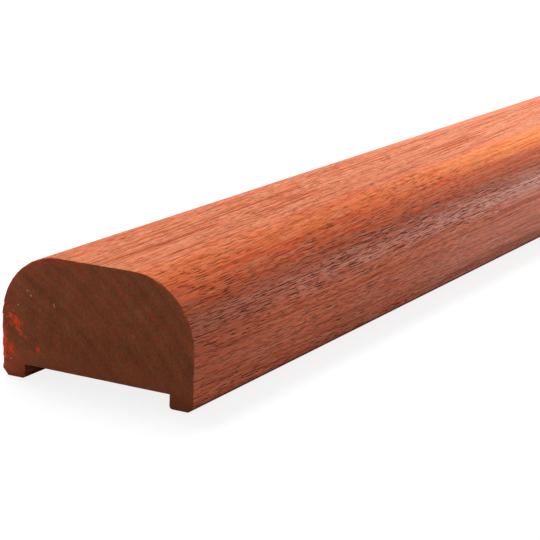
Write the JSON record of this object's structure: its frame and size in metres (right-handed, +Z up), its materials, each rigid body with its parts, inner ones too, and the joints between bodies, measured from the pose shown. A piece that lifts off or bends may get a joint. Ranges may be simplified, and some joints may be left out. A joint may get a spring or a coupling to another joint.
{
  "type": "stair handrail length",
  "caption": "Straight length of red hardwood stair handrail with a bread-loaf section: flat top, large rounded top corners, upright sides and a wide shallow groove along its underside.",
  "frame": {"origin": "middle of the underside, level with the flat bottoms of the two lips", "axes": "+X along the rail, +Y across it, +Z up out of the rounded top"},
  "size_m": [2.4, 0.07, 0.04],
  "materials": {
    "timber": "satin"
  },
  "bodies": {
    "root": {"handrail": "timber"}
  },
  "joints": []
}
